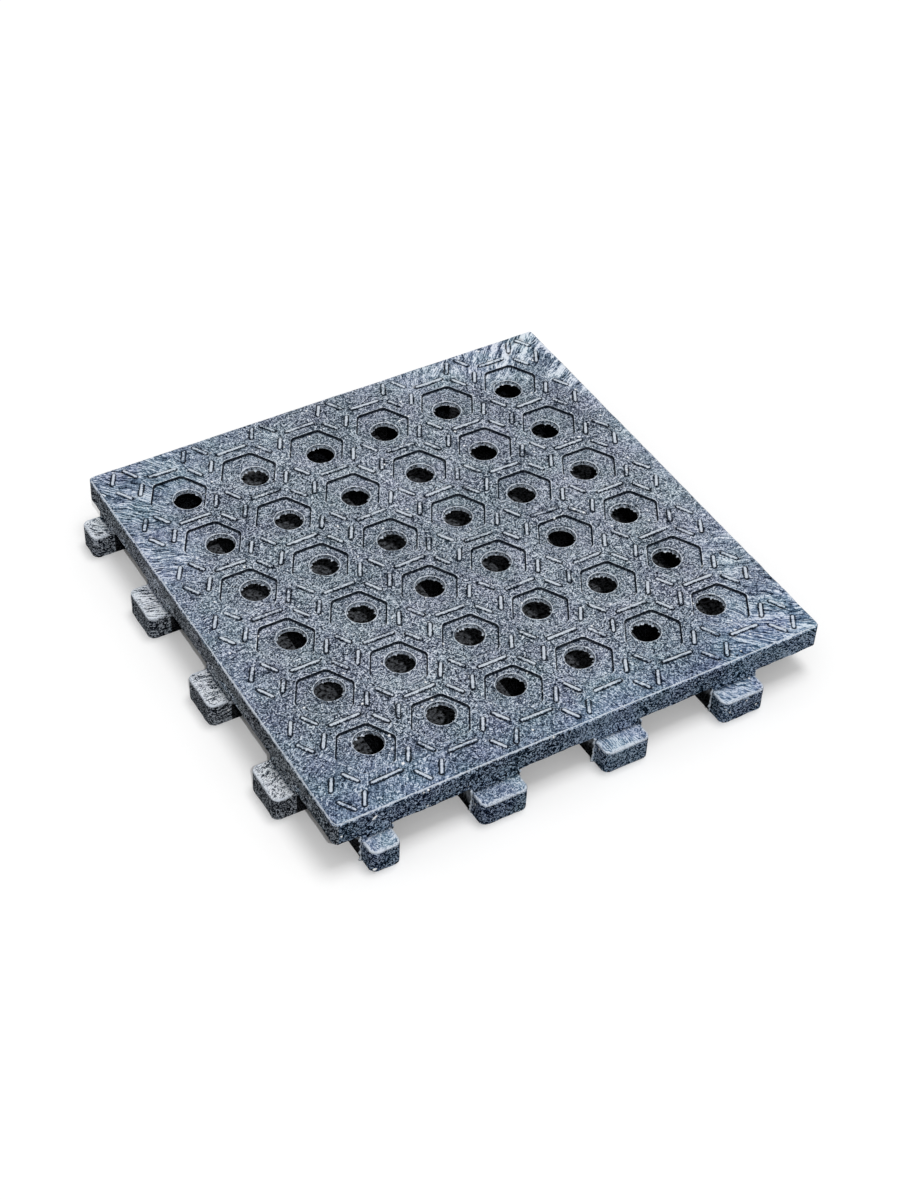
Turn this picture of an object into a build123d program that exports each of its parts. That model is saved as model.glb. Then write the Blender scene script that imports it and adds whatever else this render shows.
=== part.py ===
from build123d import *
import os

# A square paving tile, moulded in one piece: a thin ribbed plate with feet and locking tabs.
# Millimetres. The ground is Z = 0, the plate's middle is X = Y = 0, the front edge faces -Y.
plate_side = 400
plate_height = 20
plate_corner_radius = 5
plate_edge_bevel = 1.2
ground_clearance = 23
skin_thickness = 5.5
skirt_thickness = 6
rib_thickness = 5
rib_depth = 10

# Drain holes through the skin, on a square grid centred on the plate.
hole_diameter = 22
hole_edge_distance = 57.5
holes_per_row = 6

# Tread relief: a sunk hexagon round each hole, and raised bars between the hexagons.
relief_edge_distance = 23
hexagon_side = 23.4
hexagon_depth = 2.0
bar_width = 2.2
bar_height = 1.1
bar_flank_angle = 25
slanted_bar_length = 14
slanted_bar_angle = 60
slanted_bar_spread = 14
slanted_bar_rise = 21
cross_bar_length = 24.5

# Locking tabs on the front and left edges, each on a leg that reaches in to the outermost rib.
tabs_per_edge = 4
tab_width = 38
tab_offset = 25
tab_reach = 16
tab_thickness = 20
tab_corner_radius = 6
tab_edge_bevel = 0.8
corner_setback = 20

# Socket blocks under the right and back edges, between the next tiles' tabs.
socket_clearance = 2
block_setback = 4

# Legs and blocks are cored out from below.
upright_wall = 6

# Square feet, each under a crossing of two ribs.
feet_per_row = 3
foot_width = 26
foot_draft_angle = 2

half_side = plate_side / 2
plate_top = ground_clearance + plate_height
skin_underside = plate_top - skin_thickness
hole_pitch = (plate_side - 2 * hole_edge_distance) / (holes_per_row - 1)
relief_pitch = (plate_side - 2 * relief_edge_distance) / holes_per_row
ribs_per_row = holes_per_row + 1
foot_pitch = 2 * hole_pitch
outermost_rib = hole_pitch * holes_per_row / 2
inner_end = rib_thickness / 2 - outermost_rib
tab_spacing = plate_side / tabs_per_edge


def tab_span(number):
    """Start and end of a front tab, numbered from the left corner."""
    middle = -half_side + tab_offset + number * tab_spacing
    start = max(middle - tab_width / 2, -half_side + corner_setback)
    return start, middle + tab_width / 2


def next_tile_tab_span(number):
    """The same for the tabs that the next tile slides in under this edge."""
    start, end = tab_span(tabs_per_edge - 1 - number)
    return -end, -start


def block_span(number):
    """A block fills the room between two tabs of the next tile, less a clearance."""
    start = -half_side + corner_setback
    if number > 0:
        start = next_tile_tab_span(number - 1)[1] + socket_clearance
    return start, next_tile_tab_span(number)[0] - socket_clearance


def rectangle_between(span, outer, inner):
    """Rectangle at the front edge, from Y = outer to Y = inner."""
    start, end = span
    return Pos((start + end) / 2, (outer + inner) / 2) * Rectangle(end - start, inner - outer)


def make_core(span, outer, height):
    """The hollow of a leg or a block, which ends at the outermost rib."""
    start, end = span
    walled = (start + upright_wall, end - upright_wall)
    return extrude(rectangle_between(walled, outer, inner_end - rib_thickness), height)


def make_tab(number):
    """A tab with its leg. Only the tab's own corners, outside the plate, are rounded."""
    span = tab_span(number)
    plan = rectangle_between(span, -half_side - tab_reach, inner_end)
    plan = fillet(plan.vertices().sort_by(Axis.Y)[:2], tab_corner_radius)
    tab = extrude(plan, tab_thickness)
    tab = chamfer(tab.faces().sort_by(Axis.Z)[-1].edges(), tab_edge_bevel)
    leg = extrude(rectangle_between(span, -half_side, inner_end), skin_underside)
    under_tab = make_core(span, -half_side - tab_reach + upright_wall, tab_thickness - upright_wall)
    under_skin = make_core(span, -half_side + skirt_thickness, skin_underside)
    return tab + leg - [under_tab, under_skin]


def make_block(number):
    span = block_span(number)
    outer = -half_side + block_setback
    block = extrude(rectangle_between(span, outer, inner_end), skin_underside)
    return block - make_core(span, outer + upright_wall, skin_underside)


def make_foot():
    top = Pos(0, 0, skin_underside) * Rectangle(foot_width, foot_width)
    return extrude(top, -skin_underside, taper=foot_draft_angle)


def make_plate():
    """The skin and its skirt."""
    outline = RectangleRounded(plate_side, plate_side, plate_corner_radius)
    plate = Pos(0, 0, ground_clearance) * extrude(outline, plate_height)
    plate = chamfer(plate.faces().sort_by(Axis.Z)[-1].edges(), plate_edge_bevel)
    inside = offset(outline, -skirt_thickness, kind=Kind.INTERSECTION)
    return plate - Pos(0, 0, ground_clearance) * extrude(inside, skin_underside - ground_clearance)


def make_ribs():
    """Ribs both ways under the skin, midway between the rows of holes."""
    rib = extrude(Rectangle(rib_thickness, plate_side - skirt_thickness), -rib_depth)
    places = GridLocations(hole_pitch, 0, ribs_per_row, 1)
    lengthwise = [place * Pos(0, 0, skin_underside) * rib for place in places]
    return lengthwise + [Rot(0, 0, 90) * rib for rib in lengthwise]


def make_tabs_and_blocks():
    """Tabs on the front and left edges, socket blocks on the right and back edges."""
    uprights = []
    for number in range(tabs_per_edge):
        tab = make_tab(number)
        block = make_block(number)
        uprights += [tab, Rot(0, 0, -90) * tab]
        uprights += [Rot(0, 0, 90) * block, Rot(0, 0, 180) * block]
    return uprights


def make_feet():
    foot = make_foot()
    return [place * foot for place in GridLocations(foot_pitch, foot_pitch, feet_per_row, feet_per_row)]


def make_hexagon_recesses():
    hexagon = RegularPolygon(hexagon_side, 6)
    places = GridLocations(relief_pitch, relief_pitch, holes_per_row, holes_per_row)
    return [place * Pos(0, 0, plate_top) * extrude(hexagon, -hexagon_depth) for place in places]


def make_bar(length):
    return extrude(Rectangle(length, bar_width), bar_height, taper=bar_flank_angle)


def make_bars():
    """Four slanted bars as a diamond at each crossing, and a cross bar beside each hexagon."""
    bars = []
    slanted = make_bar(slanted_bar_length)
    for diamond in GridLocations(relief_pitch, relief_pitch, holes_per_row + 1, holes_per_row + 1):
        for side in (-1, 1):
            for end in (-1, 1):
                corner = Pos(side * slanted_bar_spread / 2, end * slanted_bar_rise / 2, plate_top)
                bars.append(diamond * corner * Rot(0, 0, -side * end * slanted_bar_angle) * slanted)
    cross = Pos(0, 0, plate_top) * make_bar(cross_bar_length)
    for place in GridLocations(relief_pitch, relief_pitch, holes_per_row, holes_per_row + 1):
        bars.append(place * cross)
    return bars


def make_holes():
    drill = Cylinder(hole_diameter / 2, 2 * skin_thickness)
    places = GridLocations(hole_pitch, hole_pitch, holes_per_row, holes_per_row)
    return [place * Pos(0, 0, plate_top) * drill for place in places]


def make_grid_tile():
    body = make_plate() + make_ribs() + make_tabs_and_blocks() + make_feet()
    body = body - make_hexagon_recesses()
    body = body + make_bars()
    return body - make_holes()


os.makedirs("parts", exist_ok=True)
export_step(make_grid_tile(), "parts/grid_tile.step")
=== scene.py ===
import bmesh
import bpy
import math
import random
from mathutils import Matrix, Vector, geometry, kdtree, noise


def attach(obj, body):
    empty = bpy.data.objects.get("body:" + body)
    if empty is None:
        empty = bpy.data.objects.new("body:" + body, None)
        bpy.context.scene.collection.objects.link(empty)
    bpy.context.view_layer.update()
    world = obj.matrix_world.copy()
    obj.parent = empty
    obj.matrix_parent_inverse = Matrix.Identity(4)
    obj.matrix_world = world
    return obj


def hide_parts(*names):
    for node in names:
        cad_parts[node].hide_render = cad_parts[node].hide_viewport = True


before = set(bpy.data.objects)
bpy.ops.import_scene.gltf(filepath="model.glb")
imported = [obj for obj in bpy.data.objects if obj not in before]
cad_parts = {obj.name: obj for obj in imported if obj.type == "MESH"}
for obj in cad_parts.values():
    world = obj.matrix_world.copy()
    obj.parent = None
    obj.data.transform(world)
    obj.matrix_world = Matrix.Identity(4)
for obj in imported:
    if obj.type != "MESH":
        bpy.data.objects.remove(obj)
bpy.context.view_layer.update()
scene = bpy.context.scene
random.seed(36)
noise.seed_set(36)
print("frame loaded")

mm = 0.001

# sizes of the moulding, in millimetres, measured from the plate's middle and from the ground
tile = {
    "halfSide": 200.0,
    "topLevel": 43.0,
    "skirtBottom": 23.0,
    "skinUnderside": 37.5,
    "bevelInner": 198.8,
    "holePitch": 57.0,
    "holeRadius": 11.0,
    "reliefPitch": 59.0,
    "rowLength": 6,
    "tabs": 4,
    "tabWidth": 38.0,
    "tabOffset": 25.0,
    "tabSpacing": 100.0,
    "cornerSetback": 20.0,
}


def addObject(name, mesh):
    piece = bpy.data.objects.new(name, mesh)
    scene.collection.objects.link(piece)
    return piece


def rowPlaces(pitch, count):
    return [(i - (count - 1) / 2) * pitch for i in range(count)]


def tabSpan(number):
    middle = tile["tabOffset"] + number * tile["tabSpacing"] - tile["halfSide"]
    start = max(middle - tile["tabWidth"] / 2, tile["cornerSetback"] - tile["halfSide"])
    return start, middle + tile["tabWidth"] / 2


def wave(x, y, size, seed=0.0):
    # smooth random value from -1 to 1, with bumps about size across
    return noise.noise(Vector((x / size, y / size, seed)))


def wave3(point, size, seed=0.0):
    return noise.noise(Vector((point[0] / size + seed, point[1] / size - seed, point[2] / size)))


def ringWave(angle, bumps, seed):
    # the same along a ring: the larger bumps is, the more of them go round
    return noise.noise(Vector((bumps * math.cos(angle), bumps * math.sin(angle), seed)))


def toPiece(shape, name):
    # from millimetres to metres, and into the scene
    bmesh.ops.scale(shape, vec=(mm,) * 3, verts=shape.verts)
    mesh = bpy.data.meshes.new(name)
    shape.to_mesh(mesh)
    shape.free()
    return addObject(name, mesh)


# tread: the skin's upper side, as one sheet of triangles that follows every edge of the relief

tread = {
    "gridStep": 3.2,            # spacing of the plain points between the edges
    "gridShake": 0.6,           # how far each of them is moved off its place
    "keepClear": 1.5,           # plain points stay this far from an edge of the relief
    "borderClear": 1.2,         # and this far from the plate's bevel
    "borderRing": 0.9965,       # size of a ring just inside the bevel
    "slowWave": 0.14,           # sink and warp of thick moulded plastic
    "fineWave": 0.07,
    "hexagonApothem": 20.27,
    "hexagonDepth": 2.0,
    "hexagonStep": 2.5,
    "hexagonStray": 0.12,       # how far its line wanders
    "cornerRadius": 1.6,
    # each ring round an edge: how far out of its line, its height, and how pale or dark it is
    # painted: above 0 rubbed pale, partly a painted highlight on the rims, below 0 painted shade at
    # the foot of a wall
    "hexagonRings": [(1.7, 0.0, 0.0), (1.0, 0.0, 0.7), (0.5, 0.0, 1.0), (0.18, -0.1, -1.5),
                     (-0.05, -1.2, -1.8), (-0.6, -1.85, -0.8), (-1.2, -2.0, 0.0)],
    "barRings": [(1.7, 0.0, 0.0), (1.0, -0.04, -0.7), (0.3, -0.08, -1.3), (0.0, 0.75, 0.2),
                 (-0.42, 1.04, 1.6)],
    "lipRings": [(3.0, 0.0, 0.0), (1.9, 0.1, -0.4), (1.1, 0.35, 0.2), (0.6, 0.34, 1.4),
                 (0.25, 0.0, 1.3)],
    "barLength": 14.0,
    "crossLength": 24.5,
    "barWidth": 2.2,
    "barStep": 2.2,
    "barStray": 0.16,
    "barPatch": 0.9,
    "barSpread": (14.0, 21.0),
    "barAngle": 60.0,
    # no two bars are alike: how pale and how long each is, and how far it is turned and moved
    "barPale": (0.55, 1.1),
    "barStretch": (0.92, 1.03),
    "barTurn": 2.0,
    "barShift": 0.35,
    "lipPatch": 0.7,
    "lipGap": 0.4,              # kept between a lip and the wall of its hexagon
}


def unevenness(x, y):
    z = tread["slowWave"] * wave(x, y, 34, 1.7)
    z += tread["fineWave"] * wave(x, y, 6.5, 4.1)
    return z + 0.4 * tread["fineWave"] * wave(x, y, 2.3, 8.3)


def hexagonLoop(cx, cy, apothem):
    # points of one hexagon with slightly rounded corners
    side = apothem / math.cos(math.radians(30))
    turns = [math.radians(60 * k) for k in range(6)]
    corners = [(cx + side * math.cos(turn), cy + side * math.sin(turn)) for turn in turns]
    points = []
    for k in range(6):
        ax, ay = corners[k]
        bx, by = corners[(k + 1) % 6]
        length = math.hypot(bx - ax, by - ay)
        cut = tread["cornerRadius"] / length
        count = max(3, round((length - 2 * tread["cornerRadius"]) / tread["hexagonStep"]))
        for n in range(count + 1):
            s = cut + (1 - 2 * cut) * n / count
            points.append((ax + (bx - ax) * s, ay + (by - ay) * s))
    return points


def barLoop(cx, cy, length, angle, grow):
    # points of a bar's outline with round ends
    halfWidth = tread["barWidth"] / 2 + grow
    halfLength = length / 2 + grow
    straight = halfLength - halfWidth
    count = max(3, round(2 * straight / tread["barStep"]))
    outline = []
    for side in (1, -1):
        for n in range(count + 1):
            outline.append((side * (straight - 2 * straight * n / count), side * halfWidth))
        for turn in (135, 180, 225) if side == 1 else (315, 0, 45):
            a = math.radians(turn)
            end = -straight if side == 1 else straight
            outline.append((end + halfWidth * math.cos(a), halfWidth * math.sin(a)))
    c, s = math.cos(angle), math.sin(angle)
    return [(cx + x * c - y * s, cy + x * s + y * c) for x, y in outline]


def stray(loop, distance, size, seedX, seedY):
    # no line of the relief is quite straight
    return [(x + distance * wave(x, y, size, seedX), y + distance * wave(x, y, size, seedY))
            for x, y in loop]


def lipRadius(hole, angle, grow):
    # the burr round a hole is torn unevenly, so its line wanders and has small bites
    radius = tile["holeRadius"] + grow
    wander = 0.28 * ringWave(angle, 1.7, hole * 3.7)
    bites = 0.2 * ringWave(angle, 7, hole * 5.1 + grow)
    return radius + (wander + bites) * min(1.0, 0.25 + abs(grow))


def lipRoom(cx, cy, hx, hy, angle):
    # the outer holes stand off their hexagon's middle, and there its wall squeezes the lip
    floor = tread["hexagonApothem"] + tread["hexagonRings"][-1][0]
    widest = tread["lipRings"][0][0]
    room = widest
    for k in range(6):
        wallAngle = math.radians(30 + 60 * k)
        facing = math.cos(angle - wallAngle)
        if facing > 0.1:
            offset = (cx - hx) * math.cos(wallAngle) + (cy - hy) * math.sin(wallAngle)
            room = min(room, (floor - offset) / facing - tile["holeRadius"] - tread["lipGap"])
    return max(0.2, room / widest)


def lipHeight(hole, angle, level):
    torn = 0.75 + 0.9 * ringWave(angle, 2.6, hole * 2.3 + 9)
    torn += 0.5 * ringWave(angle, 8, hole * 1.9)
    return level * max(0.05, torn)


def treeOf(points):
    # finds the nearest of these points
    tree = kdtree.KDTree(len(points))
    for n, point in enumerate(points):
        tree.insert((point.x, point.y, 0), n)
    tree.balance()
    return tree


class Sheet:
    # collects points and the lines between them, then cuts the sheet into triangles

    def __init__(self):
        self.points = []
        self.heights = []
        self.wearAndPaintedLight = []
        self.lines = []

    def addPoint(self, x, y, z, wearAndPaintedLight=0.0):
        self.points.append(Vector((x, y)))
        self.heights.append(z)
        self.wearAndPaintedLight.append(wearAndPaintedLight)
        return len(self.points) - 1

    def joinUp(self, ids):
        # lines from each point to the next, and from the last to the first
        self.lines += [(ids[n], ids[(n + 1) % len(ids)]) for n in range(len(ids))]

    def addLoop(self, loop, height, wearAndPaintedLight=0.0, patch=0.0):
        # patch is how unevenly the rubbing and the painted light and shade are spread along the
        # loop
        ids = [self.addPoint(x, y, height(x, y), wearAndPaintedLight + patch * wave(x, y, 4, 7.7))
               for x, y in loop]
        self.joinUp(ids)
        return ids


def addHexagons(sheet, middles):
    for cx in middles:
        for cy in middles:
            for grow, level, wearAndPaintedLight in tread["hexagonRings"]:
                loop = hexagonLoop(cx, cy, tread["hexagonApothem"] + grow)
                loop = stray(loop, tread["hexagonStray"], 3, 2, 5)
                sheet.addLoop(loop, lambda x, y: level + unevenness(x, y), wearAndPaintedLight)


def barPlaces(middles, crossings):
    # middle, length and turn of each bar: a diamond at every crossing, then the cross bars
    places = []
    angle = math.radians(tread["barAngle"])
    spreadX, spreadY = tread["barSpread"]
    for cx in crossings:
        for cy in crossings:
            for side in (-1, 1):
                for end in (-1, 1):
                    x, y = cx + side * spreadX / 2, cy + end * spreadY / 2
                    places.append((x, y, tread["barLength"], -side * end * angle))
    for cx in middles:
        for cy in crossings:
            places.append((cx, cy, tread["crossLength"], 0.0))
    return places


def barHeight(x, y, level, worn):
    if level < 0.5:
        return level + unevenness(x, y)
    # the top of a bar is worn, and follows the skin where that sinks
    return level * worn * (1 + 0.1 * wave(x, y, 4, 6)) + min(0.0, unevenness(x, y))


def addBars(sheet, middles, crossings):
    shift = tread["barShift"]
    for cx, cy, length, turn in barPlaces(middles, crossings):
        worn = 0.8 + 0.3 * wave(cx, cy, 9, 3.3)
        pale = random.uniform(*tread["barPale"])
        length *= random.uniform(*tread["barStretch"])
        turn += math.radians(random.uniform(-tread["barTurn"], tread["barTurn"]))
        cx += random.uniform(-shift, shift)
        cy += random.uniform(-shift, shift)
        for grow, level, wearAndPaintedLight in tread["barRings"]:
            loop = stray(barLoop(cx, cy, length, turn, grow), tread["barStray"], 2.4, 11, 15)
            if wearAndPaintedLight > 0:
                wearAndPaintedLight *= pale
            sheet.addLoop(loop, lambda x, y: barHeight(x, y, level, worn), wearAndPaintedLight, tread["barPatch"])


def addLips(sheet, middles, rims):
    # returns each hole's middle, the angles of the points round it and the points of its mouth
    holes = rowPlaces(tile["holePitch"], tile["rowLength"])
    mouths = {}
    for (i, j), rim in rims.items():
        cx, cy = holes[i], holes[j]
        number = i * tile["rowLength"] + j
        turns = [math.atan2(v.co.y - cy, v.co.x - cx) % (2 * math.pi) for v in rim]
        angles = []
        for n, a in enumerate(turns):
            onward = turns[(n + 1) % len(turns)] + (2 * math.pi if n == len(turns) - 1 else 0)
            angles += [a, (a + onward) / 2]
        for grow, rise, wearAndPaintedLight in tread["lipRings"]:
            ids = []
            for a in angles:
                room = lipRoom(cx, cy, middles[i], middles[j], a)
                reach = room * (lipRadius(number, a, grow) - tile["holeRadius"])
                r = tile["holeRadius"] + reach
                x, y = cx + r * math.cos(a), cy + r * math.sin(a)
                z = unevenness(x, y) - tread["hexagonDepth"] + lipHeight(number, a, rise)
                patch = tread["lipPatch"] * ringWave(a, 6, number * 2.7)
                ids.append(sheet.addPoint(x, y, z, wearAndPaintedLight + patch))
            sheet.joinUp(ids)
        mouths[number] = (cx, cy, angles, ids)
    return mouths


def fillTread(sheet, middles):
    # plain points between the edges, kept clear of them
    tree = treeOf(sheet.points)
    holes = rowPlaces(tile["holePitch"], tile["rowLength"])
    border, step, shake = tile["bevelInner"], tread["gridStep"], tread["gridShake"]
    count = int(2 * border / step)
    for i in range(count + 1):
        for j in range(count + 1):
            x = -border + step * (i + 0.5 * (j % 2)) + random.uniform(-shake, shake)
            y = -border + step * j + random.uniform(-shake, shake)
            if max(abs(x), abs(y)) > border - tread["borderClear"]:
                continue
            if tree.find((x, y, 0))[2] < tread["keepClear"]:
                continue
            toHole = math.hypot(min(abs(c - x) for c in holes), min(abs(c - y) for c in holes))
            if toHole < tile["holeRadius"] + 1:
                continue
            u = min(abs(c - x) for c in middles)
            v = min(abs(c - y) for c in middles)
            toWall = max(v, u * math.cos(math.radians(30)) + v * 0.5)
            level = -tread["hexagonDepth"] if toWall < tread["hexagonApothem"] else 0.0
            sheet.addPoint(x, y, level + unevenness(x, y))


# the rest of the moulding: skirt, tabs, legs, ribs and feet, from the CAD solid

body = {
    "outsideFrom": 193.9,       # the outer sides are cut up from here out
    "movedFrom": 194.6,         # and made wavy from here out
    # each point moves towards a core this far inside the plate's edge or the tab's sides
    "plateCore": 5.0,
    "tabCore": 6.0,
    # where the sides are cut, so that wear has points to move
    "columnStep": 3.4,
    "levels": (0.9, 4, 8, 12, 16, 18.4, 23.9, 27, 31, 35, 38.5, 41),
    "reachCuts": (-214.8, -211, -207, -203, -199.2, -197),
    "slowWave": 0.28,
    "fineWave": 0.1,
    "edgeLoss": 0.8,            # how far rubbed edges are worn back
    "lossShare": 0.4,           # of the way to the nearest point, so that nothing folds over
    "tornLeft": 3.0,            # the left skirt is the roughest
    "tornFade": 2.5,            # and that fades towards its edges
    "tabRounding": 0.5,
    "tabEdge": (18.5, 20.2),    # heights of the tabs' upper edge
    "plateEdge": 42.5,
    "sharpBend": 0.3,           # an edge bent more than this is rubbed pale, partly a painted highlight, when convex, and gets painted shade when concave, in radians
    "tabBend": 0.15,
    # wear and painted light: below 0 is painted shade in a crease, above 0 is rubbed pale, partly a
    # painted highlight
    "creaseShade": -0.6,
    "rubbedAndHighlight": 0.55,
    "plateRubbedAndHighlight": 0.95,        # more on the plate's upper edge
    "tabRubbedAndHighlight": 0.75,
    "lowShare": 0.4,            # what is left of it at the ground and at the skirt's foot
}


def isTread(face):
    # skin top, bars, hexagons and hole walls, but not the skirt or its bevel
    middle = face.calc_center_median()
    if middle.z < tile["skinUnderside"] + 0.1:
        return False
    steep = abs(face.normal.z)
    onSkirt = steep < 0.1 and max(abs(middle.x), abs(middle.y)) > 195
    onBevel = 0.6 < steep < 0.8
    return not (onSkirt or onBevel)


def isOutside(point):
    return max(abs(point.x), abs(point.y)) > body["outsideFrom"]


def cutAcross(shell, axis, places, keep):
    # cuts the kept faces with parallel planes
    for place in places:
        faces = [f for f in shell.faces if keep(f)]
        edges = list({e for f in faces for e in f.edges})
        corners = list({v for f in faces for v in f.verts})
        spot, normal = [0, 0, 0], [0, 0, 0]
        spot[axis], normal[axis] = place, 1
        bmesh.ops.bisect_plane(shell, geom=faces + edges + corners, dist=0.01,
                               plane_co=spot, plane_no=normal)


def roundTabs(shell):
    # the tabs' upper edges are well rounded by the mould
    edges = [e for e in shell.edges if e.is_manifold
             and all(19 < v.co.z < 20.1 and isOutside(v.co) for v in e.verts)
             and 0.6 < e.calc_face_angle(0) < 1.0]
    bmesh.ops.bevel(shell, geom=edges, offset=body["tabRounding"], segments=2, profile=0.5,
                    affect="EDGES")


def refineOutside(shell):
    half = tile["halfSide"]
    for axis in (0, 1):
        def onEdge(face, other=1 - axis):
            return all(abs(v.co[other]) > body["outsideFrom"] for v in face.verts)
        step = body["columnStep"]
        columns = [k * step - half for k in range(1, int(2 * half / step))]
        cutAcross(shell, axis, columns, onEdge)
        cutAcross(shell, 1 - axis, body["reachCuts"], onEdge)
    cutAcross(shell, 2, body["levels"], lambda f: all(isOutside(v.co) for v in f.verts))


def openLoops(shell):
    # the rims left open by the tread, each as an ordered list of corners
    rims = {v: [] for e in shell.edges if len(e.link_faces) == 1 for v in e.verts}
    for e in shell.edges:
        if len(e.link_faces) == 1:
            a, b = e.verts
            rims[a].append(b)
            rims[b].append(a)
    loops, seen = [], set()
    for start in rims:
        if start in seen:
            continue
        loop, here, last = [], start, None
        while here not in seen:
            seen.add(here)
            loop.append(here)
            onward = [v for v in rims[here] if v is not last]
            last, here = here, onward[0]
        loops.append(loop)
    return loops


def holeRims(loops):
    # finds each rim's hole in the grid, and puts its corners in order round it
    rims = {}
    holes = rowPlaces(tile["holePitch"], tile["rowLength"])
    for loop in loops:
        mx = sum(v.co.x for v in loop) / len(loop)
        my = sum(v.co.y for v in loop) / len(loop)
        i = min(range(tile["rowLength"]), key=lambda k: abs(holes[k] - mx))
        j = min(range(tile["rowLength"]), key=lambda k: abs(holes[k] - my))
        cx, cy = holes[i], holes[j]
        loop.sort(key=lambda v: math.atan2(v.co.y - cy, v.co.x - cx) % (2 * math.pi))
        rims[(i, j)] = loop
    return rims


def within(value, low, high):
    return max(low, min(high, value))


def wayOut(point):
    # away from a line inside the plate's edge, or inside a tab
    x, y, z = point
    half = tile["halfSide"]
    if z > tile["skirtBottom"] - 0.1:
        limit = half - body["plateCore"]
        core = (within(x, -limit, limit), within(y, -limit, limit), within(z, 25, 41))
        return (point - Vector(core)).normalized()
    if max(x, y) > body["movedFrom"]:
        return Vector((0, 0, 0))    # the socket blocks stay plain
    onFront = y < -body["movedFrom"]
    along, out = (x, -y) if onFront else (-y, -x)
    number = round((along + half - tile["tabOffset"]) / tile["tabSpacing"])
    start, end = tabSpan(within(number, 0, tile["tabs"] - 1))
    sideways = along - within(along, start + body["tabCore"], end - body["tabCore"])
    forward = max(0.0, out - half - 10)
    upward = z - within(z, 3, 17)
    if onFront:
        return Vector((sideways, -forward, upward)).normalized()
    return Vector((-forward, -sideways, upward)).normalized()


def edgeWearAndHighlight(point):
    # rubbed pale, partly a painted highlight along the edge
    low, high = body["tabEdge"]
    wearAndPaintedLight = body["rubbedAndHighlight"] + 0.5 * wave3(point, 9, 3)
    if point.z > body["plateEdge"]:
        wearAndPaintedLight += body["plateRubbedAndHighlight"]
    elif low < point.z < high:
        wearAndPaintedLight += body["tabRubbedAndHighlight"]
    if point.z < 2 or 21.5 < point.z < 24.5:
        wearAndPaintedLight *= body["lowShare"]
    return wearAndPaintedLight


def roughenOutside(shell, wearAndPaintedLightLayer):
    # handling and release from the mould leave the sides slightly wavy and rub the edges pale,
    # partly a painted highlight; concave creases get painted shade
    shell.normal_update()
    low, high = body["tabEdge"]
    moves = []
    for v in shell.verts:
        reach, z = max(abs(v.co.x), abs(v.co.y)), v.co.z
        onTread = z > 40 and reach < 198.6
        if reach < body["movedFrom"] or onTread:
            continue
        bends = [e.calc_face_angle_signed(0) for e in v.link_edges if e.is_manifold]
        slow = wave3(v.co, 17, 2) * body["slowWave"]
        fine = wave3(v.co, 3.4, 5) * body["fineWave"]
        inward = body["slowWave"] + body["fineWave"] + slow + fine
        onPlateEdge = z > body["plateEdge"]
        paleEdgeFrom = body["tabBend"] if low < z < high else body["sharpBend"]
        # painted shade in concave creases
        if min(bends, default=0) < -body["sharpBend"] and not onPlateEdge:
            v[wearAndPaintedLightLayer] = body["creaseShade"]
        elif max(bends, default=0) > paleEdgeFrom or onPlateEdge:
            patches = max(0.0, 0.3 + wave3(v.co, 8, 8) + 0.5 * wave3(v.co, 3.4, 1))
            shortest = min(e.calc_length() for e in v.link_edges)
            inward += min(body["edgeLoss"] * patches, body["lossShare"] * shortest)
            v[wearAndPaintedLightLayer] = edgeWearAndHighlight(v.co)
        if v.co.x < -body["outsideFrom"] and z > tile["skirtBottom"] + 1:
            toEdge = min(z - tile["skirtBottom"], 42.0 - z) / body["tornFade"]
            torn = body["tornLeft"] * max(0.0, wave3(v.co, 13, 21) + 0.4 * wave3(v.co, 5, 27))
            inward += torn * max(0.0, min(1.0, toEdge))
        moves.append((v, v.co - wayOut(v.co) * inward))
    for v, target in moves:
        v.co = target


wall = {
    # depth below the hexagon's floor, how far inside the bore, and how it is painted: the top ring
    # a thin painted shade under the rim, the rest a painted highlight on the bore's upper band,
    # where light falls
    "rings": [(0.35, -0.2, -0.7), (0.8, -0.2, 0.6), (1.7, -0.15, 0.8), (2.6, -0.1, 0.9)],
    "crumble": 0.45,
    "tornDepth": 3.2,
    "tornReach": 2.4,
    "tornWear": 1.1,
}


def tornEdge(number, angle):
    # film left over at the underside of the hole, broken away unevenly
    film = 0.9 * ringWave(angle, 1.1, number * 4.7) + 1.5 * ringWave(angle, 7.5, number * 2.9)
    return wall["tornReach"] * max(0.0, min(1.0, film - 0.2))


def bridge(shell, upper, lower):
    # two rings with as many corners as each other
    for n in range(len(upper)):
        m = (n + 1) % len(upper)
        shell.faces.new((upper[n], upper[m], lower[m], lower[n]))


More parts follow.
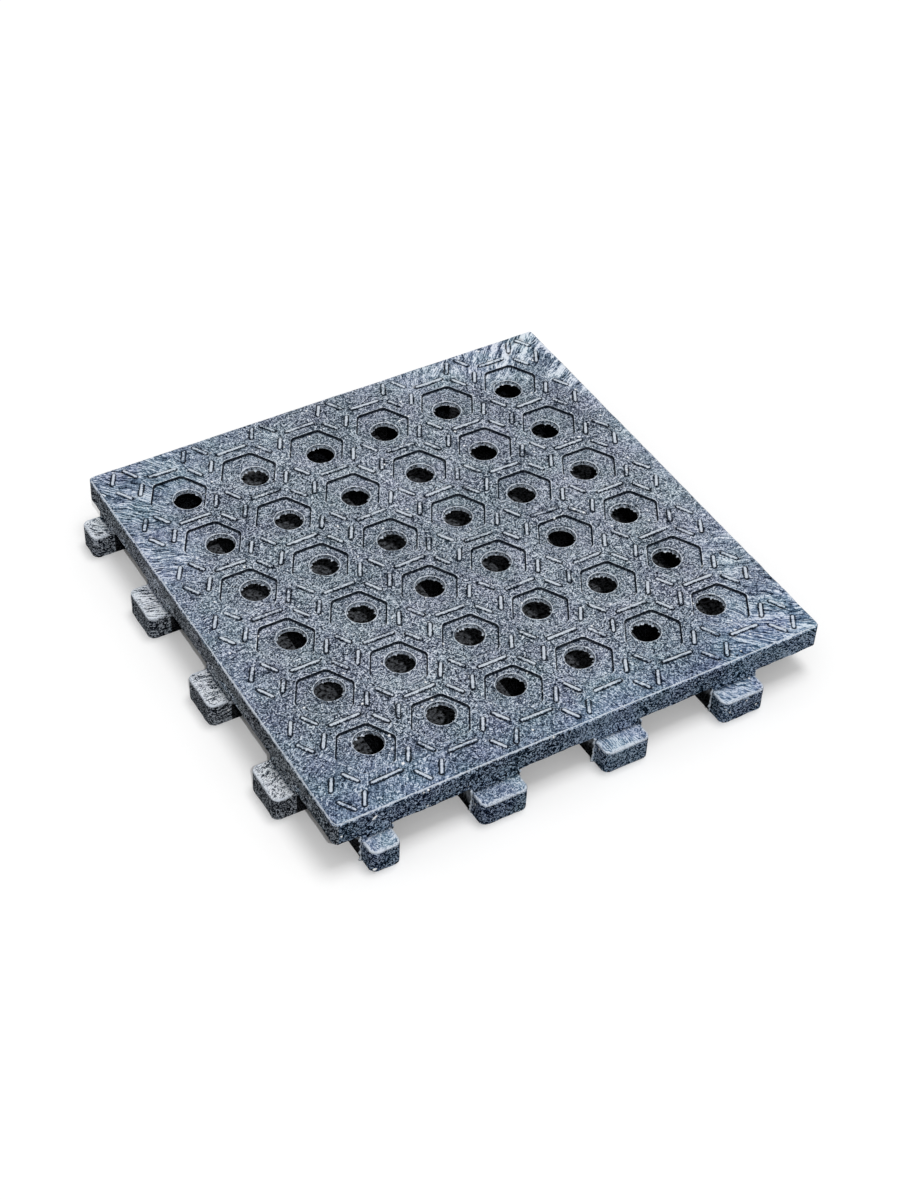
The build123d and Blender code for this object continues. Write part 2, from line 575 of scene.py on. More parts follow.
def makeHoleWall(shell, wearAndPaintedLightLayer, number, mouth, upper, rim):
    cx, cy, angles, _ = mouth
    floor = tile["topLevel"] - tread["hexagonDepth"]

    def addCorner(angle, radius, z, wearAndPaintedLight):
        v = shell.verts.new((cx + radius * math.cos(angle), cy + radius * math.sin(angle), z))
        v[wearAndPaintedLightLayer] = wearAndPaintedLight
        return v

    for depth, inside, wearAndPaintedLight in wall["rings"]:
        ring = []
        for a in angles:
            r = tile["holeRadius"] - inside
            r -= wall["crumble"] * max(-0.1, ringWave(a, 9, number * 1.7 + depth / 1.4))
            patch = 0.9 * ringWave(a, 8, number * 2.1 + depth)
            ring.append(addCorner(a, r, floor - depth, wearAndPaintedLight + patch))
        bridge(shell, upper, ring)
        upper = ring
    tip = []
    for a in angles:
        z = floor - wall["tornDepth"] + 0.35 * ringWave(a, 5, number * 1.3)
        r = tile["holeRadius"] - tornEdge(number, a)
        tip.append(addCorner(a, r, z, wall["tornWear"]))
    bridge(shell, upper, tip)
    for n, low in enumerate(rim):
        nextLow = rim[(n + 1) % len(rim)]
        a, b, c = tip[2 * n], tip[2 * n + 1], tip[(2 * n + 2) % len(tip)]
        shell.faces.new((a, b, low))
        shell.faces.new((b, nextLow, low))
        shell.faces.new((b, c, nextLow))


def openCadTile():
    # a copy of the CAD mesh in millimetres, with its tread cut away
    shell = bmesh.new()
    shell.from_mesh(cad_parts["grid_tile"].data)
    bmesh.ops.scale(shell, vec=(1 / mm,) * 3, verts=shell.verts)
    bmesh.ops.remove_doubles(shell, verts=shell.verts, dist=0.002)
    shell.normal_update()
    bmesh.ops.delete(shell, geom=[f for f in shell.faces if isTread(f)], context="FACES")
    roundTabs(shell)
    refineOutside(shell)
    return shell


def layTread(sheet, outline, rims):
    # all the points and lines of the tread; returns the outline's points and the holes' mouths
    middles = rowPlaces(tile["reliefPitch"], tile["rowLength"])
    crossings = rowPlaces(tile["reliefPitch"], tile["rowLength"] + 1)
    edge = sheet.addLoop([(v.co.x, v.co.y) for v in outline], lambda x, y: 0.0, 0.9)
    size = tread["borderRing"]
    sheet.addLoop([(v.co.x * size, v.co.y * size) for v in outline], unevenness)
    addHexagons(sheet, middles)
    addBars(sheet, middles, crossings)
    mouths = addLips(sheet, middles, rims)
    fillTread(sheet, middles)
    return edge, mouths


def stitchTread(shell, wearAndPaintedLightLayer, sheet, fixed, mouths):
    # cuts the sheet into triangles on the shell; returns the new corner of each of its points
    points, _, faces, origins, _, _ = geometry.delaunay_2d_cdt(sheet.points, sheet.lines, [],
                                                              0, 1e-5)
    print("tread triangles:", len(faces))
    source = [o[0] if o else None for o in origins]
    mouthOf = {n: number for number, mouth in mouths.items() for n in mouth[3]}
    tree = treeOf(sheet.points)
    corners = []
    for n, point in enumerate(points):
        origin = source[n]
        if origin in fixed:
            corners.append(fixed[origin])
            # the plate's rim: rubbed pale, partly a painted highlight
            fixed[origin][wearAndPaintedLightLayer] = 1.7
            continue
        # where two lines cross, the new point is like the nearest old one
        like = tree.find((point.x, point.y, 0))[1] if origin is None else origin
        v = shell.verts.new((point.x, point.y, tile["topLevel"] + sheet.heights[like]))
        v[wearAndPaintedLightLayer] = sheet.wearAndPaintedLight[like]
        corners.append(v)
    for face in faces:
        owners = {mouthOf.get(source[n]) for n in face}
        if len(owners) == 1 and None not in owners:
            continue    # inside a hole
        a, b, c = (points[n] for n in face)
        if all(source[n] in fixed for n in face) and abs((b - a).cross(c - a)) < 0.002:
            continue    # a sliver outside the outline
        shell.faces.new([corners[n] for n in face])
    return {source[n]: corners[n] for n in range(len(points)) if source[n] is not None}


def makeTile():
    shell = openCadTile()
    wearAndPaintedLightLayer = shell.verts.layers.float.new("wearAndPaintedLight")
    loops = openLoops(shell)
    outline = max(loops, key=len)
    rims = holeRims([loop for loop in loops if loop is not outline])
    print("open rims:", len(rims), "holes and an outline of", len(outline), "corners")
    sheet = Sheet()
    edge, mouths = layTread(sheet, outline, rims)
    print("tread points:", len(sheet.points))
    newOf = stitchTread(shell, wearAndPaintedLightLayer, sheet, dict(zip(edge, outline)), mouths)
    for number, mouth in mouths.items():
        rim = rims[(number // tile["rowLength"], number % tile["rowLength"])]
        makeHoleWall(shell, wearAndPaintedLightLayer, number, mouth, [newOf[n] for n in mouth[3]], rim)
    roughenOutside(shell, wearAndPaintedLightLayer)
    bmesh.ops.recalc_face_normals(shell, faces=shell.faces)
    for e in shell.edges:
        e.smooth = not (e.is_manifold and e.calc_face_angle(0) > math.radians(38))
    for f in shell.faces:
        f.smooth = True
    openEdges = sum(1 for e in shell.edges if not e.is_manifold)
    print("moulded tile:", len(shell.faces), "faces,", openEdges, "open edges")
    return toPiece(shell, "moulded_tile")


mouldedTile = makeTile()
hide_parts("grid_tile")
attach(mouldedTile, "root")


# the moulding's parting line left a thin ragged ridge down both sides of each front tab

flash = {
    "height": 1.5,              # how far it stands out of the tab's side
    "width": 2.4,
    "sunk": 0.5,
    "bottom": 0.1,
    "top": 22.9,
    "ringStep": 0.9,
    # the ridge's proud edge is rubbed pale, partly a painted highlight, and its foot gets painted
    # shade
    "rubbedAndHighlight": 1.9,
    "creaseShade": -0.6,
}


def addRidge(ridges, wearAndPaintedLightLayer, face, side, seed):
    # a stack of five-cornered rings up the tab's side, of uneven height and width
    rings = []
    sunk, bottom = flash["sunk"], flash["bottom"]
    count = int(flash["top"] / flash["ringStep"])
    for n in range(count + 1):
        z = bottom + (flash["top"] - bottom) * n / count
        torn = 0.6 + 1.7 * noise.noise(Vector((z / 2.3, seed * 7.3, 0.5)))
        proud = flash["height"] * max(0.05, min(1.3, torn))
        uneven = 0.8 + 0.8 * noise.noise(Vector((z / 3.3, seed * 3.1, 4.5)))
        half = flash["width"] / 2 * uneven
        drift = 0.8 * noise.noise(Vector((z / 5, seed * 5.7, 8.5)))
        ring = []
        for across, out in ((-1, -sunk), (-0.7, 0.45 * proud), (-0.1, proud),
                            (0.5, 0.8 * proud), (1, -sunk)):
            along = -tile["halfSide"] + drift + across * half - 0.4
            v = ridges.verts.new((face + side * out, along, z))
            v[wearAndPaintedLightLayer] = flash["rubbedAndHighlight"] if out > 0 else flash["creaseShade"]
            ring.append(v)
        rings.append(ring)
    for low, high in zip(rings, rings[1:]):
        bridge(ridges, low, high)
    ridges.faces.new(rings[0])
    ridges.faces.new(rings[-1])


def makeFlash():
    ridges = bmesh.new()
    wearAndPaintedLightLayer = ridges.verts.layers.float.new("wearAndPaintedLight")
    for number in range(tile["tabs"]):
        start, end = tabSpan(number)
        addRidge(ridges, wearAndPaintedLightLayer, start, -1, 2 * number + 1)
        addRidge(ridges, wearAndPaintedLightLayer, end, 1, 2 * number + 2)
    bmesh.ops.recalc_face_normals(ridges, faces=ridges.faces)
    for f in ridges.faces:
        f.smooth = len(f.verts) == 4
    return toPiece(ridges, "mould_flash")


mouldFlash = makeFlash()
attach(mouldFlash, "root")
print("mould flash added")


# chips of white plastic that stand in the skin where the photo shows them: the middle of each,
# its length and width, how far its length is turned up from level, and the way its face looks
chips = {
    "thickness": 0.9,
    "dent": 0.15,
    "list": [
        ((-169.2, -199.4, 35.9), 5.6, 2.2, 40, "Y"),
        ((-194.3, -199.4, 30.8), 2.2, 1.7, 0, "Y"),
        ((-128.3, -199.3, 41.0), 2.2, 1.9, 0, "Y"),
        ((-177.2, -214.9, 3.4), 3.6, 1.3, 5, "Y"),
        ((-132.3, -172.2, 43.0), 2.8, 2.4, 30, "Z"),
        ((-60.5, 23.0, 43.0), 1.6, 1.4, 0, "Z"),
        ((52.4, -121.5, 43.0), 2.2, 1.5, 70, "Z"),
        ((118.7, 64.0, 43.0), 1.7, 1.5, 0, "Z"),
    ],
}


def makeChips():
    lumps = bmesh.new()
    for middle, length, width, turn, face in chips["list"]:
        size = Matrix.Diagonal((length / 2, width / 2, chips["thickness"], 1))
        spin = Matrix.Rotation(math.radians(turn), 4, "Z")
        stand = Matrix.Rotation(math.radians(90 if face == "Y" else 0), 4, "X")
        placing = Matrix.Translation(middle) @ stand @ spin @ size
        bmesh.ops.create_icosphere(lumps, subdivisions=2, radius=1, matrix=placing)
    for v in lumps.verts:
        v.co += chips["dent"] * noise.noise_vector(v.co * 1.3)
    for f in lumps.faces:
        f.smooth = True
    return toPiece(lumps, "white_chips")


whiteChips = makeChips()
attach(whiteChips, "root")
print("white chips added")


# materials

def toLinear(hexColour):
    channels = [int(hexColour[k:k + 2], 16) / 255 for k in (1, 3, 5)]
    return [c / 12.92 if c <= 0.04045 else ((c + 0.055) / 1.055) ** 2.4 for c in channels] + [1.0]


def addNode(tree, kind, sockets=None, stops=None, **settings):
    # adds a node with its settings, links and values; a node given as a value stands for its
    # first output in use
    node = tree.nodes.new("ShaderNode" + kind)
    for name, value in settings.items():
        setattr(node, name, value)
    for key, value in (sockets or {}).items():
        if isinstance(value, bpy.types.Node):
            value = next(output for output in value.outputs if output.enabled)
        if isinstance(value, bpy.types.NodeSocket):
            tree.links.new(value, node.inputs[key])
        else:
            node.inputs[key].default_value = value
    for n, (place, colour) in enumerate(stops or ()):
        elements = node.color_ramp.elements
        element = elements[n] if n < 2 else elements.new(place)
        element.position = place
        element.color = colour
    return node


def emptyTree(owner):
    owner.use_nodes = True
    owner.node_tree.nodes.clear()
    return owner.node_tree


def placeInMm(tree):
    coords = addNode(tree, "TexCoord").outputs["Object"]
    return addNode(tree, "VectorMath", {0: coords, "Scale": 1 / mm}, operation="SCALE")


plastic = {
    "deep": "#0b1119",          # pits between the grains; also the painted shade in creases
    "dark": "#354152",
    "middle": "#657487",
    "pale": "#9dabbd",
    "grainTop": "#e2e8f0",
    "rubbedAndHighlight": "#cbd3dd",
    "speck": "#f4f6f8",
    "frontPaintedShade": "#d2dde8",    # painted shade on the sides, which face away from the light; bluer on the front
    # painted shade on the left sides, greyer
    "leftPaintedShade": "#d2d5d8",
    # painted shade under the plate, where no light falls
    "underPlatePaintedShade": "#26282b",
    # how much paler or darker each place is than the level of the scuffed top
    "level": 0.48,
    # painted shade: the sides and the left tabs' sides are made darker, as they face away from the
    # light
    "sideShadeLevel": -0.42,
    # painted light: the left and front tabs' tops lie in the plate's shade and are made paler
    "leftTabLitLevel": 0.27,
    "leftTabSideShadeLevel": -0.32,
    "frontTabLitLevel": 0.13,
    "fleckLevel": 0.95,         # pale flecks that only show on the darker sides
    "cornerLevel": 0.2,         # whitish smears, twice as strong on the right
    "rubbedAndHighlightLevel": 0.3,
    # sizes in millimetres. The real grain is too fine to show in a picture of the whole tile, so
    # it and the crooked lines in it are drawn coarser
    "grainSize": 0.85,
    "crookBend": 4.6,           # the lines come out about 2.3 mm apart
    "crookCount": 4.6,
    "flowWidth": 1.0,           # lines of drawn-out grain at the corners
    "flowLength": 17.0,
    "swirlSize": 38.0,
    "swirlReach": 22.0,
    "fleckSize": 1.4,
    "mottleSize": 8.0,
    "cloudSize": 60.0,
    "tintSize": 26.0,
    "rubSize": 2.2,
    "speckSpacing": 11.5,
    "grainContrast": 2.9,
    "crookContrast": 0.2,
    "flowContrast": 2.6,
    "mottleContrast": 0.14,
    "cloudContrast": 0.3,
    "sideContrast": 1.7,
    "leftTabContrast": 0.6,
    "leftEdgeContrast": 1.0,
    "frontCalm": 0.7,           # the grain fades a little towards the front edge
    # where the streaks set in, from the plate's middle out, and how much nearer on the left
    "cornerFrom": (240.0, 312.0),
    "leftNearer": 28.0,
    "tabsFrom": -200.6,         # just outside the plate's edge
    "roughness": 0.62,
    "roughnessSpread": 0.18,
    "bumpHeight": 0.9,
}


def makeRecycledPlastic():
    # recycled polyethylene, pressed in a coarse steel mould: a matt grey skin, full of fine pale
    # and dark grains of other plastics, with whitish flow streaks where the melt ran into the
    # corners
    material = bpy.data.materials.new("recycled_plastic")
    tree = emptyTree(material)
    place = placeInMm(tree)
    x, y, z = addNode(tree, "SeparateXYZ", {0: place}).outputs
    normal = addNode(tree, "NewGeometry").outputs["True Normal"]
    up = addNode(tree, "SeparateXYZ", {0: normal}).outputs["Z"]
    side = addNode(tree, "MapRange", {"Value": up, "From Min": 0.75, "From Max": 0.2})
    faceUp = addNode(tree, "MapRange", {"Value": side, "To Min": 1.0, "To Max": 0.0})

    # grains and the crooked lines between them
    grain = addNode(tree, "TexNoise", {
        "Vector": place, "Scale": 1 / plastic["grainSize"], "Detail": 1.5, "Roughness": 0.6})
    bends = addNode(tree, "TexNoise", {
        "Vector": place, "Scale": 1 / plastic["crookBend"], "Detail": 1.2, "Distortion": 0.4})
    turns = addNode(tree, "Math", {0: bends, 1: 2 * math.pi * plastic["crookCount"]},
                    operation="MULTIPLY")
    crooks = addNode(tree, "Math", {0: turns}, operation="SINE")
    crooks = addNode(tree, "MapRange", {
        "Value": crooks, "From Min": -0.5, "From Max": 0.5, "To Min": -1.0})
    mottle = addNode(tree, "TexNoise", {
        "Vector": place, "Scale": 1 / plastic["mottleSize"], "Detail": 4.0, "Roughness": 0.6})
    cloud = addNode(tree, "TexNoise", {"Vector": place, "Scale": 1 / plastic["cloudSize"]})

    # towards the corners the melt drew the grain out into lines, away from the plate's middle
    warp = addNode(tree, "TexNoise", {
        "Vector": place, "Scale": 1 / plastic["swirlSize"], "Detail": 2.0}).outputs["Color"]
    swirl = addNode(tree, "VectorMath", {0: warp, "Scale": plastic["swirlReach"]},
                    operation="SCALE")
    moved = addNode(tree, "VectorMath", {0: place, 1: swirl}, operation="ADD")
    movedX, movedY, movedZ = addNode(tree, "SeparateXYZ", {0: moved}).outputs
    around = addNode(tree, "Math", {0: movedY, 1: movedX}, operation="ARCTAN2")
    flatMoved = addNode(tree, "VectorMath", {0: moved, 1: (1, 1, 0)}, operation="MULTIPLY")
    outward = addNode(tree, "VectorMath", {0: flatMoved}, operation="LENGTH")
    polar = addNode(tree, "CombineXYZ", {0: outward, 1: around, 2: movedZ})
    # 230 mm from the middle, a turn of one radian is 230 mm long
    stretch = (1 / plastic["flowLength"], 230 / plastic["flowWidth"], 1 / plastic["flowWidth"])
    drawn = addNode(tree, "VectorMath", {0: polar, 1: stretch}, operation="MULTIPLY")
    flow = addNode(tree, "TexNoise", {
        "Vector": drawn, "Scale": 1.0, "Detail": 1.5, "Roughness": 0.6})
    broad = addNode(tree, "VectorMath", {0: drawn, 1: (0.5, 0.2, 0.2)}, operation="MULTIPLY")
    smear = addNode(tree, "TexNoise", {
        "Vector": broad, "Scale": 1.0, "Detail": 4.0, "Roughness": 0.65})
    smear = addNode(tree, "MapRange", {"Value": smear, "From Min": 0.42, "From Max": 0.66},
                    interpolation_type="SMOOTHSTEP")

    # how near a corner a point is, with hardly any streaks at the nearest corner
    flat = addNode(tree, "VectorMath", {0: place, 1: (1, 1, 0)}, operation="MULTIPLY")
    away = addNode(tree, "VectorMath", {0: flat}, operation="LENGTH")
    away = addNode(tree, "Math", {0: cloud, 1: 120.0, 2: away}, operation="MULTIPLY_ADD")
    leftward = addNode(tree, "MapRange", {
        "Value": x, "From Min": -120.0, "From Max": -200.0, "To Max": plastic["leftNearer"]})
    away = addNode(tree, "Math", {0: away, 1: leftward}, operation="ADD")
    nearest, full = plastic["cornerFrom"]
    corner = addNode(tree, "MapRange", {"Value": away, "From Min": nearest, "From Max": full},
                     interpolation_type="SMOOTHSTEP")
    diagonal = addNode(tree, "Math", {0: x, 1: y}, operation="ADD")
    backward = addNode(tree, "MapRange", {
        "Value": diagonal, "From Min": -350.0, "From Max": -180.0, "To Min": 0.4})
    corner = addNode(tree, "Math", {0: corner, 1: backward}, operation="MULTIPLY")

    # the grain gives way to the streaks at the corners
    fine, crooked = plastic["grainContrast"], plastic["crookContrast"]
    fineContrast = addNode(tree, "MapRange", {
        "Value": corner, "To Min": fine, "To Max": 0.5 * fine})
    calm = addNode(tree, "MapRange", {
        "Value": y, "From Min": -140.0, "From Max": -190.0,
        "To Min": 1.0, "To Max": plastic["frontCalm"]})
    fineContrast = addNode(tree, "Math", {0: fineContrast, 1: calm}, operation="MULTIPLY")
    crookContrast = addNode(tree, "MapRange", {
        "Value": corner, "To Min": crooked, "To Max": 0.4 * crooked})
    flowContrast = addNode(tree, "Math", {0: corner, 1: plastic["flowContrast"]},
                           operation="MULTIPLY")
    spread = 0.0
    for part, middle, contrast in ((grain, 0.5, fineContrast), (crooks, 0.0, crookContrast),
                                   (flow, 0.5, flowContrast),
                                   (mottle, 0.5, plastic["mottleContrast"]),
                                   (cloud, 0.5, plastic["cloudContrast"])):
        centred = addNode(tree, "Math", {0: part, 1: middle}, operation="SUBTRACT")
        spread = addNode(tree, "Math", {0: centred, 1: contrast, 2: spread},
                         operation="MULTIPLY_ADD")

    # the sides, the left edge and the tabs have more contrast
    leftTab = addNode(tree, "Math", {0: x, 1: plastic["tabsFrom"]}, operation="LESS_THAN")
    leftEdge = addNode(tree, "Math", {0: x, 1: -196.0}, operation="LESS_THAN")
    leftEdge = addNode(tree, "Math", {0: leftEdge, 1: side}, operation="MULTIPLY")
    leftEdge = addNode(tree, "Math", {0: leftEdge, 1: leftTab}, operation="MAXIMUM")
    gain = 1.0
    for part, contrast in ((side, plastic["sideContrast"]), (leftTab, plastic["leftTabContrast"]),
                           (leftEdge, plastic["leftEdgeContrast"])):
        gain = addNode(tree, "Math", {0: part, 1: contrast, 2: gain}, operation="MULTIPLY_ADD")
    tone = addNode(tree, "Math", {0: spread, 1: gain, 2: plastic["level"]},
                   operation="MULTIPLY_ADD")
    leftTabSide = addNode(tree, "Math", {0: leftTab, 1: side}, operation="MULTIPLY")
    leftTab = addNode(tree, "Math", {0: leftTab, 1: faceUp}, operation="MULTIPLY")
    frontTab = addNode(tree, "Math", {0: y, 1: plastic["tabsFrom"]}, operation="LESS_THAN")
    frontTab = addNode(tree, "Math", {0: frontTab, 1: faceUp}, operation="MULTIPLY")
    flecks = addNode(tree, "TexNoise", {
        "Vector": place, "Scale": 1 / plastic["fleckSize"], "Detail": 1.0})
    flecks = addNode(tree, "MapRange", {"Value": flecks, "From Min": 0.52, "From Max": 0.68})
    flecks = addNode(tree, "Math", {0: flecks, 1: side}, operation="MULTIPLY")

    # the smears grow stronger to the right, and strongest at the farthest corner
    rightward = addNode(tree, "MapRange", {
        "Value": x, "From Min": -200.0, "From Max": 200.0, "To Min": 1.2, "To Max": 2.15})
    farthest = addNode(tree, "MapRange", {
        "Value": diagonal, "From Min": 240.0, "From Max": 380.0, "To Min": 1.0, "To Max": 2.8})
    for part in (corner, rightward, farthest):
        smear = addNode(tree, "Math", {0: smear, 1: part}, operation="MULTIPLY")

    # rubbed pale edges, partly a painted highlight, broken up by a noise
    wearAndPaintedLight = addNode(tree, "Attribute", attribute_name="wearAndPaintedLight").outputs["Fac"]
    patchy = addNode(tree, "TexNoise", {
        "Vector": place, "Scale": 1 / plastic["rubSize"], "Detail": 3.0, "Roughness": 0.7})
    rubbedAndHighlight = addNode(tree, "Math", {0: patchy, 1: 1.8, 2: wearAndPaintedLight}, operation="MULTIPLY_ADD")
    rubbedAndHighlight = addNode(tree, "MapRange", {"Value": rubbedAndHighlight, "From Min": 1.4, "From Max": 2.05},
                     interpolation_type="SMOOTHSTEP")

    # all of this adds up to one tone, from deep to the top of the grain, with painted shade on the
    # sides and painted light on the tabs' tops
    for part, amount in ((side, "sideShadeLevel"), (smear, "cornerLevel"),
                         (frontTab, "frontTabLitLevel"), (leftTab, "leftTabLitLevel"),
                         (leftTabSide, "leftTabSideShadeLevel"), (flecks, "fleckLevel"),
                         (rubbedAndHighlight, "rubbedAndHighlightLevel")):
        tone = addNode(tree, "Math", {0: part, 1: plastic[amount], 2: tone},
                       operation="MULTIPLY_ADD")
    colour = addNode(tree, "ValToRGB", {"Fac": tone}, stops=[
        (0.0, toLinear(plastic["deep"])), (1.0, toLinear(plastic["grainTop"])),
        (0.27, toLinear(plastic["dark"])), (0.5, toLinear(plastic["middle"])),
        (0.74, toLinear(plastic["pale"]))])

    # bluer towards the corners and the front, greyer in the middle and on the left, and slightly
    # purple or green in patches, as mixed waste plastic is
    tints = addNode(tree, "TexNoise", {
        "Vector": place, "Scale": 1 / plastic["tintSize"], "Detail": 2.0})
    hue = addNode(tree, "MapRange", {
        "Value": tints, "From Min": 0.3, "From Max": 0.7, "To Min": 0.48, "To Max": 0.52})
    front = addNode(tree, "MapRange", {
        "Value": y, "From Min": -130.0, "From Max": -200.0, "To Min": 0.95, "To Max": 1.25})
    blueness = addNode(tree, "Math", {0: corner, 1: 0.3, 2: front}, operation="MULTIPLY_ADD")
    blueness = addNode(tree, "Math", {0: leftEdge, 1: -0.4, 2: blueness},
                       operation="MULTIPLY_ADD")
    colour = addNode(tree, "HueSaturation", {
        "Hue": hue, "Saturation": blueness, "Color": colour})

    # painted shade: the sides are darkened and tinted, then the underside under the plate is
    # darkened nearly to black, where shade falls
    insideX = addNode(tree, "Math", {0: x}, operation="ABSOLUTE")
    insideY = addNode(tree, "Math", {0: y}, operation="ABSOLUTE")
    reach = addNode(tree, "Math", {0: insideX, 1: insideY}, operation="MAXIMUM")
    underSkin = addNode(tree, "Math", {0: reach, 1: 194.5}, operation="LESS_THAN")
    skinLevel = addNode(tree, "MapRange", {"Value": underSkin, "To Min": 22.7, "To Max": 37.7})
    below = addNode(tree, "Math", {0: z, 1: skinLevel}, operation="LESS_THAN")
    inside = addNode(tree, "Math", {0: reach, 1: 198.8}, operation="LESS_THAN")
    underPlateShadeMask = addNode(tree, "Math", {0: below, 1: inside}, operation="MULTIPLY")
    sidePaintedShade = addNode(tree, "Mix", {0: leftEdge, 6: toLinear(plastic["frontPaintedShade"]),
                                 7: toLinear(plastic["leftPaintedShade"])}, data_type="RGBA")
    for factor, shade in ((side, sidePaintedShade), (underPlateShadeMask, toLinear(plastic["underPlatePaintedShade"]))):
        colour = addNode(tree, "Mix", {0: factor, 6: colour, 7: shade},
                         data_type="RGBA", blend_type="MULTIPLY")

    # pale rubbed lines, partly a painted highlight, painted shade in the creases, and a few white
    # grains
    cells = addNode(tree, "TexVoronoi", {"Vector": place, "Scale": 1 / plastic["speckSpacing"]})
    dot = addNode(tree, "MapRange", {"Value": cells, "From Min": 0.095, "From Max": 0.06})
    pick = addNode(tree, "SeparateColor", {0: cells.outputs["Color"]})
    pick = addNode(tree, "Math", {0: pick, 1: 0.45}, operation="GREATER_THAN")
    dot = addNode(tree, "Math", {0: dot, 1: pick}, operation="MULTIPLY")
    worn = addNode(tree, "Math", {0: rubbedAndHighlight, 1: 0.38}, operation="MULTIPLY")
    strongRubbedAndHighlight = addNode(tree, "Math", {0: patchy, 1: 0.9, 2: wearAndPaintedLight}, operation="MULTIPLY_ADD")
    strongRubbedAndHighlight = addNode(tree, "MapRange", {
        "Value": strongRubbedAndHighlight, "From Min": 1.35, "From Max": 1.95, "To Max": 0.75})
    creaseShade = addNode(tree, "MapRange", {
        "Value": wearAndPaintedLight, "From Min": -0.05, "From Max": -0.9, "To Max": 0.95})
    for factor, over in ((worn, "rubbedAndHighlight"), (strongRubbedAndHighlight, "rubbedAndHighlight"), (creaseShade, "deep"), (dot, "speck")):
        colour = addNode(tree, "Mix", {0: factor, 6: colour, 7: toLinear(plastic[over])},
                         data_type="RGBA")

    # the pits and the painted shade in the creases are kept from shining, as deep narrow places
    # would be
    shine = addNode(tree, "MapRange", {
        "Value": tone, "From Min": 0.1, "From Max": 0.5, "To Max": 0.5})
    shine = addNode(tree, "Math", {0: creaseShade, 1: -0.6, 2: shine},
                    operation="MULTIPLY_ADD", use_clamp=True)
    rough = addNode(tree, "MapRange", {
        "Value": mottle, "To Min": plastic["roughness"] - plastic["roughnessSpread"],
        "To Max": plastic["roughness"] + plastic["roughnessSpread"]})
    height = 0.0
    for part, amount in ((grain, 0.75), (crooks, 0.07), (patchy, 0.5), (flow, 0.3)):
        height = addNode(tree, "Math", {0: part, 1: amount, 2: height}, operation="MULTIPLY_ADD")
    bump = addNode(tree, "Bump", {
        "Strength": 0.8, "Distance": plastic["bumpHeight"] * mm, "Height": height})
    shader = addNode(tree, "BsdfPrincipled", {
        "Base Color": colour, "Roughness": rough, "Normal": bump, "IOR": 1.5,
        "Specular IOR Level": shine})
    addNode(tree, "OutputMaterial", {"Surface": shader})
    return material


chipPlastic = {
    "dirtPerMm": 1.4,
    "roughness": 0.5,
    "bumpHeight": 0.2,
}


def makeChipPlastic():
    # the same polyethylene from a white bottle: cleaner and a little smoother than the grey
    # round it
    material = bpy.data.materials.new("white_chip")
    tree = emptyTree(material)
    dirt = addNode(tree, "TexNoise", {
        "Vector": placeInMm(tree), "Scale": chipPlastic["dirtPerMm"], "Detail": 2.0})
    colour = addNode(tree, "ValToRGB", {"Fac": dirt}, stops=[
        (0.2, toLinear(plastic["pale"])), (0.36, toLinear(plastic["speck"]))])
    bump = addNode(tree, "Bump", {
        "Strength": 0.4, "Distance": chipPlastic["bumpHeight"] * mm, "Height": dirt})
    shader = addNode(tree, "BsdfPrincipled", {
        "Base Color": colour, "Roughness": chipPlastic["roughness"], "Normal": bump, "IOR": 1.5})
    addNode(tree, "OutputMaterial", {"Surface": shader})
    return material


recycledPlastic = makeRecycledPlastic()
whiteChips.data.materials.append(makeChipPlastic())
mouldedTile.data.materials.clear()
mouldedTile.data.materials.append(recycledPlastic)
mouldFlash.data.materials.append(recycledPlastic)
print("material made")


# floor, light and camera

stage = {
    "floorSize": 14.0,
    "floor": "#ffffff",
    "floorSeenByObject": "#55585b",     # keeps the white floor from lighting the sides from below
    "underTileShade": "#5f6267",                   # painted shade on the ground under the tile, seen through the holes
    "underTileShadeSpan": (-172.0, 199.0),         # both ways, in millimetres
    "underTileShadeFade": 9.0,
    "shadeMottleSize": 2.8,
    "sky": "#ffffff",
    "skyLevel": 0.46,
    # a broad soft light overhead, a little to the right, and a weaker, narrow one from the front
    # that falls through the holes on to the ground
    "lights": {
        "broad": {"level": 1.05, "angle": 26.0, "from": (0.24, 0.08, 1.0)},
        "narrow": {"level": 1.15, "angle": 1.4, "from": (-0.295, -0.84, 1.0)},
    },
}


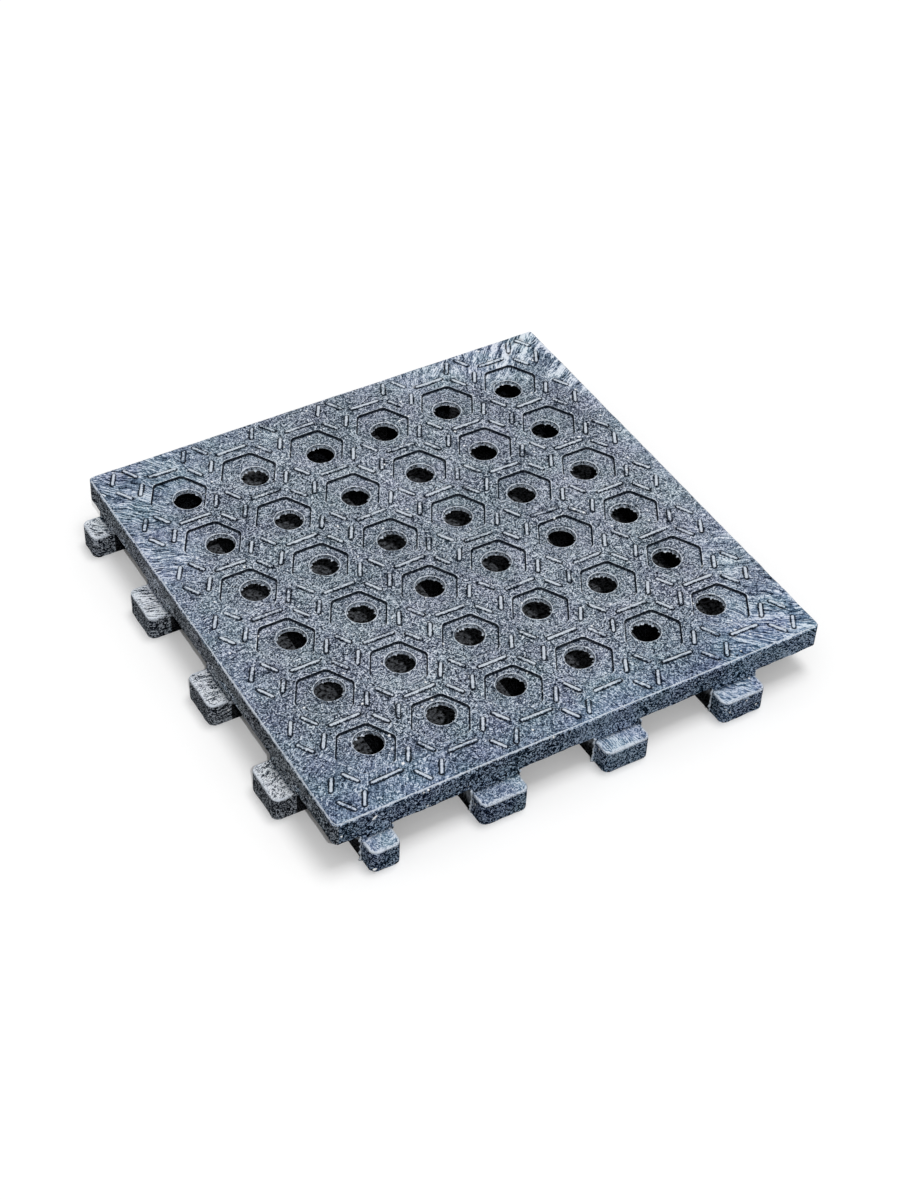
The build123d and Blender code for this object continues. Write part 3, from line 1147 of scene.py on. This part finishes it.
def makeFloor():
    # white to the camera, with a dark, mottled painted shade on the ground under the tile
    half = stage["floorSize"] / 2
    corners = [(-half, -half, 0), (half, -half, 0), (half, half, 0), (-half, half, 0)]
    mesh = bpy.data.meshes.new("floor")
    mesh.from_pydata(corners, [], [(0, 1, 2, 3)])
    floor = addObject("floor", mesh)
    material = bpy.data.materials.new("studio_floor")
    tree = emptyTree(material)
    place = placeInMm(tree)
    shadeStart, shadeEnd = stage["underTileShadeSpan"]
    middle, halfShade = (shadeStart + shadeEnd) / 2, (shadeEnd - shadeStart) / 2
    centred = addNode(tree, "VectorMath", {0: place, 1: (middle, middle, 0)},
                      operation="SUBTRACT")
    away = addNode(tree, "VectorMath", {0: centred}, operation="ABSOLUTE")
    awayX, awayY, _ = addNode(tree, "SeparateXYZ", {0: away}).outputs
    far = addNode(tree, "Math", {0: awayX, 1: awayY}, operation="MAXIMUM")
    underTileShade = addNode(tree, "MapRange", {
        "Value": far, "From Min": halfShade, "From Max": halfShade - stage["underTileShadeFade"]})
    shadeNoise = addNode(tree, "TexNoise", {
        "Vector": place, "Scale": 1 / stage["shadeMottleSize"], "Detail": 3.0, "Roughness": 0.7})
    shadeMottle = addNode(tree, "MapRange", {
        "Value": shadeNoise, "From Min": 0.4, "From Max": 0.7, "To Max": 2.6})
    underTileShadeColour = addNode(tree, "VectorMath", {
        0: toLinear(stage["underTileShade"])[:3], "Scale": shadeMottle.outputs[0]}, operation="SCALE")
    toCamera = addNode(tree, "LightPath").outputs["Is Camera Ray"]
    colour = addNode(tree, "Mix", {
        0: toCamera, 6: toLinear(stage["floorSeenByObject"]), 7: toLinear(stage["floor"])},
        data_type="RGBA")
    colour = addNode(tree, "Mix", {0: underTileShade, 6: colour, 7: underTileShadeColour}, data_type="RGBA")
    shader = addNode(tree, "BsdfDiffuse", {"Color": colour})
    addNode(tree, "OutputMaterial", {"Surface": shader})
    mesh.materials.append(material)


def makeSky():
    scene.world = bpy.data.worlds.new("soft_sky")
    tree = emptyTree(scene.world)
    toCamera = addNode(tree, "LightPath").outputs["Is Camera Ray"]
    level = addNode(tree, "Mix", {0: toCamera, 2: stage["skyLevel"], 3: 1.0})
    background = addNode(tree, "Background", {
        "Color": toLinear(stage["sky"]), "Strength": level})
    addNode(tree, "OutputWorld", {"Surface": background})


def makeLights():
    for name, settings in stage["lights"].items():
        lamp = bpy.data.lights.new(name, "SUN")
        lamp.energy = settings["level"]
        lamp.angle = math.radians(settings["angle"])
        light = bpy.data.objects.new(name, lamp)
        scene.collection.objects.link(light)
        light.rotation_euler = Vector(settings["from"]).to_track_quat("Z", "Y").to_euler()


shot = {
    "place": (-0.64993, -1.04921, 1.17163),
    "right": (0.86300892, -0.50416527, 0.03213999),
    "down": (-0.32884412, -0.6089192, -0.72185799),
    "forward": (0.38350638, 0.61240084, -0.69129448),
    "focalPixels": 2244.94,
    "imageHeight": 1200,
    "sensorHeight": 24.0,
}


def makeCamera():
    lens = bpy.data.cameras.new("camera")
    lens.sensor_fit = "VERTICAL"
    lens.sensor_height = shot["sensorHeight"]
    lens.lens = shot["focalPixels"] / shot["imageHeight"] * shot["sensorHeight"]
    camera = bpy.data.objects.new("camera", lens)
    scene.collection.objects.link(camera)
    right, down, forward = (Vector(shot[k]) for k in ("right", "down", "forward"))
    turn = Matrix((right, -down, -forward)).transposed().to_4x4()
    camera.matrix_world = Matrix.Translation(shot["place"]) @ turn
    scene.camera = camera


makeFloor()
makeSky()
makeLights()
makeCamera()
scene.view_settings.view_transform = "Standard"
print("floor, light and camera set")
